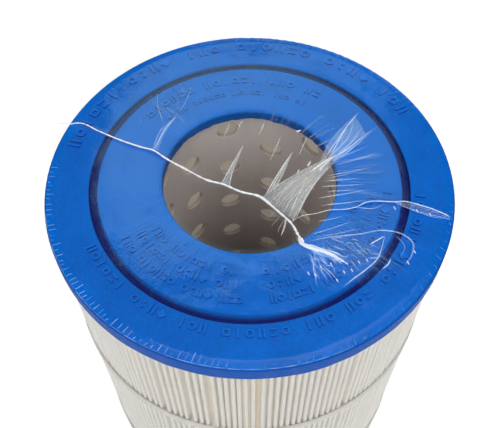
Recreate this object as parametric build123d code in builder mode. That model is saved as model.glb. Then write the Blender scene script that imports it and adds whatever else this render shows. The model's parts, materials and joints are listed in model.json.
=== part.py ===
from build123d import *
import math
import os

# Pleated filter cartridge for a pool or spa filter, standing on its bottom end cap.
# Origin: centre of the bottom cap's face. +Z runs along the axis to the top cap.
# Every length is in millimetres, every angle in degrees.

# Overall size: 7 in across, 3 in bore at both ends
CAP_RADIUS = 88.9
BORE_RADIUS = 38.1
TOTAL_LENGTH = 575.0

# Moulded end caps: a plate with an outer wall, and a bed that the ends stand in
CAP_WALL_HEIGHT = 8.0
BORE_LIP_HEIGHT = 4.0
BED_DEPTH = 5.0
CAP_EDGE_ROUND = 1.0
BORE_EDGE_ROUND = 0.5
CAP_SKIRT_INNER_RADIUS = 87.7
GROOVE_INNER_RADIUS = 66.0
GROOVE_OUTER_RADIUS = 70.0
GROOVE_DEPTH = 3.0
GROOVE_SLOPE = 0.7

# Perforated core tube
CORE_INNER_RADIUS = 40.8
CORE_OUTER_RADIUS = 43.2
CORE_COLUMNS = 12
CORE_FIRST_COLUMN_ANGLE = 15.0
CORE_HOLES_PER_COLUMN = 19
CORE_HOLE_RADIUS = 5.5
CORE_HOLE_PITCH = 29.6
CORE_END_TO_FIRST_HOLE = 9.7

# Pleated media: one sheet folded into a ring of equal pleats
PLEATS = 184
MEDIA_THICKNESS = 0.5
PLEAT_OUTER_RADIUS = 87.3
PLEAT_INNER_RADIUS = 43.5
OUTER_FOLD_RADIUS = 0.70
INNER_FOLD_RADIUS = 0.34

# Bead that closes the sheet into a ring, in the gap between two pleats at the back
SEAM_THICKNESS = 0.5
SEAM_INNER_RADIUS = 68.0
SEAM_OUTER_RADIUS = 86.0

# Bands round the pleats
BANDS = 5
BAND_HEIGHT = 6.0
BAND_THICKNESS = 0.6
BAND_CLEARANCE = 0.05
FIRST_BAND_FROM_TOP = 77.0

# Shrink-wrap bag, drawn as a thin shell
FILM_THICKNESS = 0.4
FILM_CLEARANCE = 0.1
FILM_BORE_MARGIN = 0.9
FILM_BOTTOM = 1.2
FILM_EDGE_ROUND = 0.9

# Raised marks on the top cap
MARK_HEIGHT = 0.8
MARK_ROOT = 0.2
FILM_OVER_MARKS = 0.05

CORE_BOTTOM = BORE_LIP_HEIGHT
CORE_LENGTH = TOTAL_LENGTH - 2 * BORE_LIP_HEIGHT
MEDIA_BOTTOM = BED_DEPTH
MEDIA_LENGTH = TOTAL_LENGTH - 2 * BED_DEPTH
PITCH_ANGLE = 360.0 / PLEATS


def cap_profile():
    """Half section of the top end cap, on the XZ plane, as the sketch that is revolved."""
    top = TOTAL_LENGTH
    core_seat = top - BORE_LIP_HEIGHT
    media_seat = top - BED_DEPTH
    seat_step = (CORE_OUTER_RADIUS + PLEAT_INNER_RADIUS) / 2
    with BuildSketch(Plane.XZ) as profile:
        with BuildLine():
            Polyline(
                (BORE_RADIUS, core_seat),
                (seat_step, core_seat),
                (seat_step, media_seat),
                (CAP_SKIRT_INNER_RADIUS, media_seat),
                (CAP_SKIRT_INNER_RADIUS, top - CAP_WALL_HEIGHT),
                (CAP_RADIUS, top - CAP_WALL_HEIGHT),
                (CAP_RADIUS, top),
                (GROOVE_OUTER_RADIUS, top),
                (GROOVE_OUTER_RADIUS, top - GROOVE_DEPTH),
                (GROOVE_INNER_RADIUS + GROOVE_SLOPE, top - GROOVE_DEPTH),
                (GROOVE_INNER_RADIUS, top),
                (BORE_RADIUS, top),
                close=True,
            )
        make_face()
        fillet(profile.vertices().sort_by_distance((CAP_RADIUS, top))[0], radius=CAP_EDGE_ROUND)
        fillet(profile.vertices().sort_by_distance((BORE_RADIUS, top))[0], radius=BORE_EDGE_ROUND)
    return profile


def mark_shape(kind, size):
    """One plain raised mark, size across, drawn at the current location."""
    stroke = 0.2 * size
    if kind == "bar":
        Rectangle(stroke, size)
    elif kind == "ring":
        Circle(0.42 * size)
        Circle(0.42 * size - stroke, mode=Mode.SUBTRACT)
    elif kind == "dashes":
        with Locations((0, 0.3 * size), (0, -0.3 * size)):
            Rectangle(0.65 * size, stroke)
    elif kind == "square":
        Rectangle(0.75 * size, 0.75 * size)
        Rectangle(0.75 * size - 2 * stroke, 0.75 * size - 2 * stroke, mode=Mode.SUBTRACT)
    elif kind == "diamond":
        RegularPolygon(0.5 * size, 4)
    elif kind == "dots":
        with Locations((0, 0.3 * size), (0, -0.3 * size)):
            Circle(0.15 * size)
    elif kind == "bars":
        with Locations((-0.22 * size, 0), (0.22 * size, 0)):
            Rectangle(stroke, size)


def mark_arc(radius, first_angle, last_angle, size, kinds):
    """A row of marks along an arc, from first_angle to last_angle, one per entry in kinds."""
    step = (last_angle - first_angle) / (len(kinds) - 1)
    for i, kind in enumerate(kinds):
        angle = first_angle + i * step
        x = radius * math.cos(math.radians(angle))
        y = radius * math.sin(math.radians(angle))
        if kind != "gap":
            with Locations(Location((x, y, 0), (0, 0, angle - 90))):
                mark_shape(kind, size)


WORD_A = ["bars", "ring", "bar", "square", "dashes", "bar", "gap"]
WORD_B = ["ring", "dots", "bars", "diamond", "gap"]
WORD_C = ["square", "bar", "ring", "bars", "dashes", "ring", "gap"]
WORD_D = ["bar", "bars", "ring", "gap"]

# Build the top end cap with its rows of raised marks
top_profile = cap_profile()
with BuildSketch(Plane.XY.offset(TOTAL_LENGTH - MARK_ROOT)) as top_marks:
    mark_arc(81.2, 166, 29, 5.6, WORD_A + WORD_B + WORD_D + WORD_C + WORD_B + ["bar", "ring", "bars"])
    mark_arc(58.6, 141, 57, 4.4, WORD_C + WORD_A + WORD_D + ["bars", "dashes"])
    mark_arc(50.4, 136, 60, 2.8, WORD_B + WORD_C + WORD_A + WORD_D + ["ring", "bar"])
    mark_arc(60.0, 211, 266, 3.8, WORD_D + WORD_C + WORD_B + ["bars", "dashes", "ring"])
    mark_arc(60.0, 279, 352, 3.8, WORD_A + WORD_D + WORD_C + WORD_B + ["dots", "bar"])
    mark_arc(53.6, 213, 264, 3.8, WORD_A + WORD_B + ["ring", "bars", "bar"])
    mark_arc(53.6, 279, 348, 3.8, WORD_B + WORD_D + WORD_A + ["square", "bar"])
    mark_arc(47.4, 214, 262, 3.8, WORD_D + WORD_A + ["ring", "bars"])
    mark_arc(47.4, 278, 344, 3.8, WORD_C + WORD_D + ["dashes", "ring", "bar"])
    mark_arc(74.0, 209, 256, 4.2, WORD_A + WORD_B + ["bar", "ring", "bars"])
    mark_arc(74.0, 263, 309, 4.2, WORD_C + WORD_D + ["bars", "ring", "dashes"])
    mark_arc(74.0, 317, 352, 4.2, WORD_B + WORD_D + ["square", "bar"])
with BuildPart() as top_end_cap:
    add(top_profile.sketch)
    revolve(axis=Axis.Z)
    add(top_marks.sketch)
    extrude(amount=MARK_ROOT + MARK_HEIGHT)

# Build the bottom end cap: the same moulding turned over, its face left plain
with BuildPart() as bottom_end_cap:
    add(top_profile.sketch)
    revolve(axis=Axis.Z)
    mirror(about=Plane.XY.offset(TOTAL_LENGTH / 2), mode=Mode.REPLACE)

# Build the core tube, with columns of round holes staggered by half a pitch
with BuildPart() as core_tube:
    with BuildSketch(Plane.XY.offset(CORE_BOTTOM)):
        Circle(CORE_OUTER_RADIUS)
        Circle(CORE_INNER_RADIUS, mode=Mode.SUBTRACT)
    extrude(amount=CORE_LENGTH)
    column_span = (CORE_HOLES_PER_COLUMN - 1) * CORE_HOLE_PITCH
    high_centre = CORE_BOTTOM + CORE_LENGTH - CORE_END_TO_FIRST_HOLE - column_span / 2
    for column in range(CORE_COLUMNS):
        turn = CORE_FIRST_COLUMN_ANGLE + column * 360 / CORE_COLUMNS
        outward = (math.cos(math.radians(turn)), math.sin(math.radians(turn)), 0)
        sideways = (-outward[1], outward[0], 0)
        centre = high_centre if column % 2 else TOTAL_LENGTH - high_centre
        with BuildSketch(Plane(origin=(0, 0, centre), x_dir=sideways, z_dir=outward)):
            with GridLocations(0, CORE_HOLE_PITCH, 1, CORE_HOLES_PER_COLUMN):
                Circle(CORE_HOLE_RADIUS)
        extrude(amount=CORE_OUTER_RADIUS + 1, mode=Mode.SUBTRACT)


def polar(radius, angle):
    """A point in the plane from its distance to the axis and its angle."""
    return Vector(radius * math.cos(math.radians(angle)), radius * math.sin(math.radians(angle)))


def fold_outline(outer_radius, inner_radius):
    """One side of the folded sheet: an arc round each fold and a straight leg between folds."""
    outer_centre_radius = PLEAT_OUTER_RADIUS - OUTER_FOLD_RADIUS - MEDIA_THICKNESS / 2
    inner_centre_radius = PLEAT_INNER_RADIUS + INNER_FOLD_RADIUS + MEDIA_THICKNESS / 2
    points = []
    for pleat in range(PLEATS):
        tip_angle = pleat * PITCH_ANGLE
        tip = polar(outer_centre_radius, tip_angle)
        for side in (-1, 1):
            root = polar(inner_centre_radius, tip_angle + side * PITCH_ANGLE / 2)
            along = (root - tip).normalized()
            across = Vector(-along.Y, along.X) * -side
            lean = (outer_radius + inner_radius) / (root - tip).length
            normal = along * lean + across * math.sqrt(1 - lean * lean)
            leg = [tip + normal * outer_radius, root - normal * inner_radius]
            if side < 0:
                points.append((leg[1], leg[0]))
            else:
                points.append((leg[0], leg[1]))
    with BuildLine() as outline:
        for pleat in range(PLEATS):
            rising = points[2 * pleat]
            falling = points[2 * pleat + 1]
            rising_next = points[(2 * pleat + 2) % (2 * PLEATS)]
            tip_top = polar(outer_centre_radius + outer_radius, pleat * PITCH_ANGLE)
            root_bottom = polar(inner_centre_radius - inner_radius, (pleat + 0.5) * PITCH_ANGLE)
            Line(rising[0], rising[1])
            ThreePointArc(rising[1], tip_top, falling[0])
            Line(falling[0], falling[1])
            ThreePointArc(falling[1], root_bottom, rising_next[0])
    return outline


# Build the pleated media: the space between the folded sheet's two sides
half_sheet = MEDIA_THICKNESS / 2
with BuildPart() as pleated_media:
    with BuildSketch(Plane.XY.offset(MEDIA_BOTTOM)):
        add(fold_outline(OUTER_FOLD_RADIUS + half_sheet, INNER_FOLD_RADIUS - half_sheet).line)
        make_face()
        add(fold_outline(OUTER_FOLD_RADIUS - half_sheet, INNER_FOLD_RADIUS + half_sheet).line)
        make_face(mode=Mode.SUBTRACT)
    extrude(amount=MEDIA_LENGTH)

# Build the seam bead, in the gap between two pleats at the back
seam_angle = (round(90 / PITCH_ANGLE - 0.5) + 0.5) * PITCH_ANGLE
seam_plane = Plane(origin=(0, 0, MEDIA_BOTTOM), x_dir=tuple(polar(1, seam_angle)), z_dir=(0, 0, 1))
with BuildPart() as media_seam:
    with BuildSketch(seam_plane):
        with Locations(((SEAM_INNER_RADIUS + SEAM_OUTER_RADIUS) / 2, 0)):
            Rectangle(SEAM_OUTER_RADIUS - SEAM_INNER_RADIUS, SEAM_THICKNESS)
    extrude(amount=MEDIA_LENGTH)

# Build the bands, evenly spaced from the first band to the last
band_inner_radius = PLEAT_OUTER_RADIUS + BAND_CLEARANCE
band_spacing = (TOTAL_LENGTH - 2 * FIRST_BAND_FROM_TOP) / (BANDS - 1)
band_list = []
for band in range(BANDS):
    band_centre = TOTAL_LENGTH - FIRST_BAND_FROM_TOP - band * band_spacing
    with BuildPart() as one_band:
        with BuildSketch(Plane.XY.offset(band_centre - BAND_HEIGHT / 2)):
            Circle(band_inner_radius + BAND_THICKNESS)
            Circle(band_inner_radius, mode=Mode.SUBTRACT)
        extrude(amount=BAND_HEIGHT)
        band_edges = one_band.edges().filter_by(GeomType.CIRCLE).sort_by(SortBy.RADIUS)[-2:]
        fillet(band_edges, radius=BAND_THICKNESS / 3)
    band_list.append(one_band)

# Build the shrink-wrap bag: a wall and a flange that leaves the bore's mouth clear
film_wall_radius = CAP_RADIUS + FILM_CLEARANCE
film_underside = TOTAL_LENGTH + MARK_HEIGHT + FILM_OVER_MARKS
film_top = film_underside + FILM_THICKNESS
with BuildPart() as shrink_wrap:
    with BuildSketch(Plane.XZ) as film_profile:
        with BuildLine():
            Polyline(
                (film_wall_radius, FILM_BOTTOM),
                (film_wall_radius + FILM_THICKNESS, FILM_BOTTOM),
                (film_wall_radius + FILM_THICKNESS, film_top),
                (BORE_RADIUS + FILM_BORE_MARGIN, film_top),
                (BORE_RADIUS + FILM_BORE_MARGIN, film_underside),
                (film_wall_radius, film_underside),
                close=True,
            )
        make_face()
        film_rim = (film_wall_radius + FILM_THICKNESS, film_top)
        fillet(film_profile.vertices().sort_by_distance(film_rim)[0], radius=FILM_EDGE_ROUND)
    revolve(axis=Axis.Z)

# Name each piece and write it out
pieces = {
    "top_end_cap": top_end_cap,
    "bottom_end_cap": bottom_end_cap,
    "core_tube": core_tube,
    "pleated_media": pleated_media,
    "media_seam": media_seam,
    "shrink_wrap": shrink_wrap,
}
for band in range(BANDS):
    pieces["band_%d" % (band + 1)] = band_list[band]

os.makedirs("parts", exist_ok=True)
for name, piece in pieces.items():
    piece.part.label = name
    export_step(piece.part, "parts/" + name + ".step")
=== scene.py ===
import bpy
import json
from math import atan2, cos, pi, radians, sin, sqrt
import numpy as np
from mathutils import Matrix, Vector


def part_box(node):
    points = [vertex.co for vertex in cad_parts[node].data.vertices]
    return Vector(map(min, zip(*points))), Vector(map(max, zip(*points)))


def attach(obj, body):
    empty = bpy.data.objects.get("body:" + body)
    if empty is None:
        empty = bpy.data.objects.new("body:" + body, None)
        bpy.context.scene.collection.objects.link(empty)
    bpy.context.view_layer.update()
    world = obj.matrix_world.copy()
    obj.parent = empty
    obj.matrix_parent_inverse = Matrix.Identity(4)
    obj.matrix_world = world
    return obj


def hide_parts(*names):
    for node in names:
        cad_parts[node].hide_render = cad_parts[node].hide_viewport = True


# A pleated filter cartridge in its shrink-wrap bag, standing on a pale floor.
# Lengths in the feature lists are millimetres, measured from the centre of the top cap's face.

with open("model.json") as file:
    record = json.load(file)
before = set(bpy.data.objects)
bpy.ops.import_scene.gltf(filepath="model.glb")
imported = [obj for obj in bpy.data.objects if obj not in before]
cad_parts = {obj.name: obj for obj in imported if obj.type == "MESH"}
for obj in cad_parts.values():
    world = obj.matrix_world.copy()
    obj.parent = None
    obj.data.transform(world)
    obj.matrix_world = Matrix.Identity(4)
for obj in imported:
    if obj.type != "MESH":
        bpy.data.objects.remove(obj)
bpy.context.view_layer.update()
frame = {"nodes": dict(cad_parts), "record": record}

MM = 0.001
MOUNTS = {m["name"]: m for m in frame["record"]["mounts"]}
MARK_HEIGHT = 0.8
TOP_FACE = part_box("top_end_cap")[1].z / MM - MARK_HEIGHT
BORE_R = MOUNTS["top_bore"]["dims"]["r_mm"]
CAP_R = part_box("top_end_cap")[1].x / MM
CAP_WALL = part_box("bottom_end_cap")[1].z / MM
PLEAT_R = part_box("pleated_media")[1].x / MM
MEDIA_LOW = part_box("pleated_media")[0].z / MM
MEDIA_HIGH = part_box("pleated_media")[1].z / MM
CORE_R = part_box("core_tube")[1].x / MM
BANDS = [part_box("band_%d" % i) for i in range(1, 6)]
BAND_R = BANDS[0][1].x / MM
GROOVE_R = (66.0, 70.0)


# ---- mesh helpers


def add_piece(name, verts, faces, material, smooth=True):
    """A mesh piece from points in millimetres, riding on the cartridge."""
    mesh = bpy.data.meshes.new(name)
    mesh.from_pydata([tuple(v) for v in np.asarray(verts) * MM], [], faces)
    mesh.validate()
    mesh.shade_smooth() if smooth else mesh.shade_flat()
    piece = bpy.data.objects.new(name, mesh)
    bpy.context.scene.collection.objects.link(piece)
    mesh.materials.append(material)
    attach(piece, "root")
    return piece


def add_values(piece, name, values):
    """A number on each vertex, for the piece's material."""
    layer = piece.data.attributes.new(name, "FLOAT", "POINT")
    layer.data.foreach_set("value", np.asarray(values, dtype=np.float32))


def grid_faces(rows, columns, closed=False):
    """Quads of a grid whose vertices are stored row by row; closed joins the last column to the first."""
    faces = []
    last = columns if closed else columns - 1
    for i in range(rows - 1):
        for j in range(last):
            k = (j + 1) % columns
            faces.append((i * columns + j, i * columns + k, (i + 1) * columns + k, (i + 1) * columns + j))
    return faces


def smoothstep(low, high, x):
    """0 below low, 1 above high, and an easy curve between."""
    t = np.clip((np.asarray(x, dtype=float) - low) / (high - low), 0, 1)
    return t * t * (3 - 2 * t)


def wave_noise(x, y, size, seed):
    """Smooth noise from -1 to 1 over a plane, as a few crossed waves of about the given size."""
    rng = np.random.default_rng(seed)
    total = np.zeros_like(x, dtype=float)
    for _ in range(7):
        angle, phase = rng.uniform(0, 2 * pi, 2)
        length = size * rng.uniform(0.7, 1.6)
        along = x * cos(angle) + y * sin(angle)
        total += np.sin(2 * pi * along / length + phase)
    return total / 4


def smooth_curve(points, count):
    """Catmull-Rom curve through the given points, as count points evenly spread in parameter."""
    p = np.asarray(points, dtype=float)
    p = np.vstack([2 * p[0] - p[1], p, 2 * p[-1] - p[-2]])
    spans = len(p) - 3
    out = []
    for t in np.linspace(0, spans, count):
        i = min(int(t), spans - 1)
        u = t - i
        a, b, c, d = p[i : i + 4]
        bend = 2 * a - 5 * b + 4 * c - d
        twist = 3 * b - a - 3 * c + d
        out.append(0.5 * (2 * b + (c - a) * u + bend * u**2 + twist * u**3))
    return np.array(out)


# ---- node helpers


class Nodes:
    """A short way to write a material's node tree."""

    def __init__(self, name):
        self.material = bpy.data.materials.new(name)
        self.material.use_nodes = True
        self.tree = self.material.node_tree
        self.tree.nodes.clear()
        self.output = self.tree.nodes.new("ShaderNodeOutputMaterial")

    def link(self, source, target):
        """Link a socket, or a node's first output, to a socket."""
        is_node = isinstance(source, bpy.types.Node)
        self.tree.links.new(source.outputs[0] if is_node else source, target)

    def add(self, kind, settings=None, **inputs):
        """A node with its settings, and its inputs set or linked by name or number."""
        node = self.tree.nodes.new("ShaderNode" + kind)
        for key, value in (settings or {}).items():
            setattr(node, key, value)
        for key, value in inputs.items():
            numbered = key[0] == "i" and key[1:].isdigit()
            socket = node.inputs[int(key[1:]) if numbered else key.replace("_", " ")]
            if isinstance(value, (bpy.types.NodeSocket, bpy.types.Node)):
                self.link(value, socket)
            else:
                socket.default_value = value
        return node

    def math(self, operation, *values, clamp=False):
        inputs = {"i%d" % i: v for i, v in enumerate(values)}
        return self.add("Math", {"operation": operation, "use_clamp": clamp}, **inputs).outputs[0]

    def ramp(self, value, stops):
        """A colour ramp from (position, colour) stops; a plain number is a grey."""
        node = self.add("ValToRGB", i0=value)
        elements = node.color_ramp.elements
        while len(elements) < len(stops):
            elements.new(0.5)
        for element, (position, colour) in zip(elements, stops):
            element.position = position
            element.color = (colour,) * 3 + (1,) if isinstance(colour, (int, float)) else tuple(colour) + (1,)
        return node.outputs[0]

    def mix(self, factor, a, b, blend="MIX"):
        """Two colours mixed by a factor."""
        node = self.add("Mix", {"data_type": "RGBA", "blend_type": blend})
        for socket, value in zip((node.inputs[0], node.inputs[6], node.inputs[7]), (factor, a, b)):
            if isinstance(value, bpy.types.NodeSocket):
                self.link(value, socket)
            else:
                socket.default_value = tuple(value) + (1,) if isinstance(value, tuple) else value
        return node.outputs[2]

    def place(self, scale=(1, 1, 1)):
        """The surface's own position, in metres, scaled along each axis."""
        where = self.add("TexCoord").outputs["Object"]
        return self.add("Mapping", i0=where, Scale=scale).outputs[0]

    def noise(self, where, scale, detail=3.0, roughness=0.5):
        return self.add("TexNoise", Vector=where, Scale=scale, Detail=detail, Roughness=roughness).outputs[0]

    def radius(self):
        """Distance from the axis, in metres."""
        parts = self.add("SeparateXYZ", i0=self.add("TexCoord").outputs["Object"])
        flat = self.add("CombineXYZ", X=parts.outputs[0], Y=parts.outputs[1])
        return self.add("VectorMath", {"operation": "LENGTH"}, i0=flat.outputs[0]).outputs["Value"]

    def height(self):
        """Height above the floor, in metres."""
        return self.add("SeparateXYZ", i0=self.add("TexCoord").outputs["Object"]).outputs[2]

    def step(self, value, low, high, first=0.0, last=1.0, kind="LINEAR"):
        """first where value is at low, last where it is at high, and held beyond both."""
        settings = {"interpolation_type": kind}
        return self.add("MapRange", settings, i0=value, i1=low, i2=high, i3=first, i4=last).outputs[0]

    def band(self, value, low, high, soft):
        """1 where value lies between low and high, falling to 0 over soft."""
        rise = self.step(value, low - soft, low, kind="SMOOTHSTEP")
        fall = self.step(value, high + soft, high, kind="SMOOTHSTEP")
        return self.math("MULTIPLY", rise, fall)

    def inward_painted_shade(self):
        """0 near either end of the cartridge, 1 deep inside it: where painted shade darkens the inside."""
        from_end = self.math("MINIMUM", self.height(), self.math("SUBTRACT", TOP_FACE * MM, self.height()))
        return self.step(from_end, DARK_FROM, DARK_TO, kind="SMOOTHSTEP")

    def over_cap(self):
        """0 over the bore, 1 over the cap round it."""
        return self.step(self.radius(), (BORE_R - 1) * MM, (BORE_R + 3) * MM)

    def bump(self, height, strength, distance, normal=None):
        inputs = {"Height": height, "Strength": strength, "Distance": distance}
        if normal is not None:
            inputs["Normal"] = normal
        return self.add("Bump", **inputs).outputs[0]

    def finish(self, shader):
        self.link(shader, self.output.inputs[0])
        return self.material


# ---- materials


def cap_material():
    """Satin blue urethane: faint mottling and tiny bubbles, with painted shade in the groove, on the raised
    marks' sides, on the outer wall and inside the bore, and a painted highlight on the marks' tops.
    """
    n = Nodes("cap_urethane")
    where = n.place()
    mottle = n.noise(where, 60.0, 4.0)
    fine = n.noise(where, 900.0, 3.0)
    blue = n.ramp(mottle, [(0.3, (0.001, 0.170, 0.76)), (0.7, (0.001, 0.206, 0.89))])
    grain = n.ramp(n.noise(where, 1500.0, 2.0), [(0.3, 0.80), (0.7, 1.0)])
    blue = n.mix(1.0, blue, grain, "MULTIPLY")
    # painted shade: the groove's floor and walls are darkened, as the shade in that recess
    groove = n.band(n.radius(), (GROOVE_R[0] + 1.1) * MM, (GROOVE_R[1] + 0.1) * MM, 0.9 * MM)
    below = n.step(n.height(), (TOP_FACE - 0.2) * MM, (TOP_FACE - 1.6) * MM)
    far_end = n.step(n.height(), 0.2 * MM, 1.6 * MM)
    deep = n.math("MULTIPLY", groove, n.math("MULTIPLY", below, far_end))
    blue = n.mix(deep, blue, (0.006, 0.014, 0.18))
    # painted highlight: the tops of the raised marks are paler
    raised = n.step(n.height(), (TOP_FACE + 0.1) * MM, (TOP_FACE + MARK_HEIGHT - 0.05) * MM)
    blue = n.mix(n.math("MULTIPLY", raised, 0.35), blue, (0.01, 0.25, 0.98))
    # painted shade: the steep sides of the raised marks are darkened
    upright = n.add("SeparateXYZ", i0=n.add("NewGeometry").outputs["Normal"]).outputs[2]
    steep_painted_shade = n.step(n.math("ABSOLUTE", upright), 0.75, 0.35)
    on_mark = n.step(n.height(), (TOP_FACE - 0.1) * MM, TOP_FACE * MM)
    blue = n.mix(n.math("MULTIPLY", steep_painted_shade, on_mark), blue, (0.002, 0.055, 0.33))
    # painted shade: the cap's outer wall is darker than its top
    wall = n.step(n.radius(), (CAP_R - 1.0) * MM, (CAP_R - 0.2) * MM)
    blue = n.mix(n.math("MULTIPLY", wall, 0.9), blue, (0.001, 0.066, 0.35))
    # painted shade: the bore's inner wall is darker, as the shade inside the lip
    lip = n.step(n.radius(), (BORE_R + 0.8) * MM, (BORE_R + 0.1) * MM)
    blue = n.mix(n.math("MULTIPLY", lip, 0.65), blue, (0.006, 0.045, 0.20))
    specks = n.add("TexVoronoi", Vector=where, Scale=700.0)
    pits = n.ramp(specks, [(0.0, 0.0), (0.16, 1.0)])
    normal = n.bump(fine, 0.25, 0.0004)
    normal = n.bump(pits, 0.15, 0.0002, normal)
    rough = n.step(fine, 0.0, 1.0, 0.36, 0.52)
    shader = n.add("BsdfPrincipled", Base_Color=blue, Roughness=rough, Normal=normal)
    shader.inputs["IOR"].default_value = 1.48
    shader.inputs["Specular IOR Level"].default_value = 0.03
    shader.inputs["Subsurface Weight"].default_value = 0.12
    shader.inputs["Subsurface Radius"].default_value = (0.0002, 0.0008, 0.003)
    return n.finish(shader)


# Painted shade: tone of the tube's inside far from its open ends, and how far in, in metres, it darkens
CORE_DEEP_PAINTED_SHADE = (0.265, 0.163, 0.140)
DARK_FROM = 0.04
DARK_TO = 0.16
# Painted shade on the tube's own thickness, at the edges of its holes
CORE_EDGE_PAINTED_SHADE = (0.30, 0.24, 0.20)
CORE_WALL = 2.4


def core_material():
    """Off-white moulded core plastic with faint vertical flow lines and dusty patches; painted shade darkens
    it deep inside and on the edges of its holes.
    """
    n = Nodes("core_moulded_plastic")
    patches = n.noise(n.place(), 28.0, 4.0)
    flow = n.noise(n.place((220.0, 220.0, 9.0)), 1.0, 3.0)
    tone = n.math("ADD", n.math("MULTIPLY", patches, 0.6), n.math("MULTIPLY", flow, 0.4))
    colour = n.ramp(tone, [(0.3, (0.68, 0.608, 0.572)), (0.7, (0.79, 0.710, 0.670))])
    # painted shade: darker deep inside the tube, away from its open ends
    colour = n.mix(n.inward_painted_shade(), colour, CORE_DEEP_PAINTED_SHADE)
    inner = CORE_R - CORE_WALL
    # painted shade: the tube's thickness at the edges of its holes is darkened
    edge = n.step(n.radius(), (inner + 0.1) * MM, (inner + 0.6) * MM)
    colour = n.mix(n.math("MULTIPLY", edge, 0.6), colour, CORE_EDGE_PAINTED_SHADE)
    grain = n.noise(n.place(), 1300.0, 2.0)
    normal = n.bump(grain, 0.2, 0.0003)
    normal = n.bump(flow, 0.2, 0.0004, normal)
    rough = n.step(grain, 0.0, 1.0, 0.45, 0.62)
    shader = n.add("BsdfPrincipled", Base_Color=colour, Roughness=rough, Normal=normal)
    return n.finish(shader)


def fabric_material():
    """Spunbonded polyester: bonded dimples, loose fibres, a little see-through; painted shade makes it darker
    and warmer deep in the folds and near black at the roots, and a painted glow lights the folds and roots.
    """
    n = Nodes("pleat_polyester")
    cells = n.add("TexVoronoi", {"feature": "DISTANCE_TO_EDGE"}, Vector=n.place(), Scale=1100.0)
    bonds = n.ramp(cells, [(0.02, 0.0), (0.2, 1.0)])
    fibres = n.noise(n.place((3200.0, 3200.0, 700.0)), 1.0, 4.0, 0.65)
    cloud = n.noise(n.place(), 90.0, 3.0)
    tone = n.math("ADD", n.math("MULTIPLY", fibres, 0.5), n.math("MULTIPLY", cloud, 0.5))
    colour = n.ramp(tone, [(0.3, (0.85, 0.835, 0.80)), (0.7, (0.935, 0.922, 0.895))])
    # painted shade: darker and warmer towards the roots of the folds
    fold_painted_shade = n.step(n.radius(), (PLEAT_R - 14) * MM, (PLEAT_R - 0.5) * MM)
    colour = n.mix(fold_painted_shade, (0.88, 0.84, 0.775), colour)
    # painted shade: near black at the roots, by the core
    root_painted_shade_and_glow = n.step(n.radius(), (CORE_R + 12) * MM, (CORE_R + 3) * MM)
    colour = n.mix(root_painted_shade_and_glow, colour, (0.07, 0.055, 0.04))
    normal = n.bump(bonds, 0.3, 0.00015)
    normal = n.bump(fibres, 0.35, 0.0002, normal)
    shader = n.add("BsdfPrincipled", Base_Color=colour, Roughness=0.85, Normal=normal)
    shader.inputs["Sheen Weight"].default_value = 0.15
    through = n.add("BsdfTranslucent", Color=(0.80, 0.72, 0.52, 1), Normal=normal)
    body = n.add("MixShader", i0=0.3, i1=shader, i2=through)
    # painted glow at the roots, standing for light that comes through the folds to the core's holes, dimmer
    # deeper inside as painted shade
    seen = n.mix(n.inward_painted_shade(), (0.200, 0.176, 0.158), (0.040, 0.028, 0.017))
    glow = n.add("Emission", Color=seen, Strength=root_painted_shade_and_glow)
    # painted glow: the middle of the folds emits a faint white light
    fold_painted_glow = n.band(n.radius(), (CORE_R + 14) * MM, (PLEAT_R - 7) * MM, 6 * MM)
    lit = n.add("Emission", Color=(1.0, 0.965, 0.92, 1), Strength=n.math("MULTIPLY", fold_painted_glow, 0.12))
    glow = n.add("AddShader", i0=glow, i1=lit)
    return n.finish(n.add("AddShader", i0=body, i1=glow))


def band_material():
    """Pale flat polypropylene band with lengthwise ribbing and scuffs."""
    n = Nodes("band_polypropylene")
    wave = n.add("TexWave", {"bands_direction": "Z"}, Vector=n.place(), Scale=420.0, Distortion=0.4)
    scuffs = n.noise(n.place((60.0, 60.0, 500.0)), 1.0, 4.0)
    colour = n.ramp(scuffs, [(0.3, (0.66, 0.645, 0.60)), (0.7, (0.74, 0.725, 0.685))])
    normal = n.bump(wave.outputs[1], 0.25, 0.0002)
    rough = n.step(scuffs, 0.0, 1.0, 0.4, 0.6)
    shader = n.add("BsdfPrincipled", Base_Color=colour, Roughness=rough, Normal=normal)
    clear = n.add("BsdfTransparent", Color=(0.96, 0.95, 0.92, 1))
    return n.finish(n.add("MixShader", i0=0.30, i1=shader, i2=clear))


def bead_material():
    """Hot-melt bead: cloudy, slightly waxy."""
    n = Nodes("hot_melt_bead")
    cloud = n.noise(n.place(), 260.0, 4.0)
    colour = n.ramp(cloud, [(0.3, (0.66, 0.62, 0.52)), (0.7, (0.80, 0.775, 0.70))])
    normal = n.bump(cloud, 0.4, 0.0005)
    shader = n.add("BsdfPrincipled", Base_Color=colour, Roughness=0.38, Normal=normal)
    return n.finish(shader)


# Colour of thinly gathered film with the blue cap behind it
THIN_FILM = (0.36, 0.64, 1.0)


def film_shader(n, normal, rough, gloss, shine=1.0):
    """Clear film: what is behind it, plus what its two faces mirror, more at a glancing angle."""
    clear = n.add("BsdfTransparent", Color=(0.965, 0.975, 0.985, 1))
    mirror = n.add("BsdfAnisotropic", Color=(1, 1, 1, 1), Roughness=rough, Normal=normal)
    facing = n.add("LayerWeight", Blend=0.5, Normal=normal).outputs["Facing"]
    glancing = n.math("POWER", facing, 5.0)
    share = n.math("MULTIPLY_ADD", glancing, 0.45, gloss)
    share = n.math("MULTIPLY", share, shine, clamp=True)
    return n.add("MixShader", i0=share, i1=clear, i2=mirror)


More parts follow.
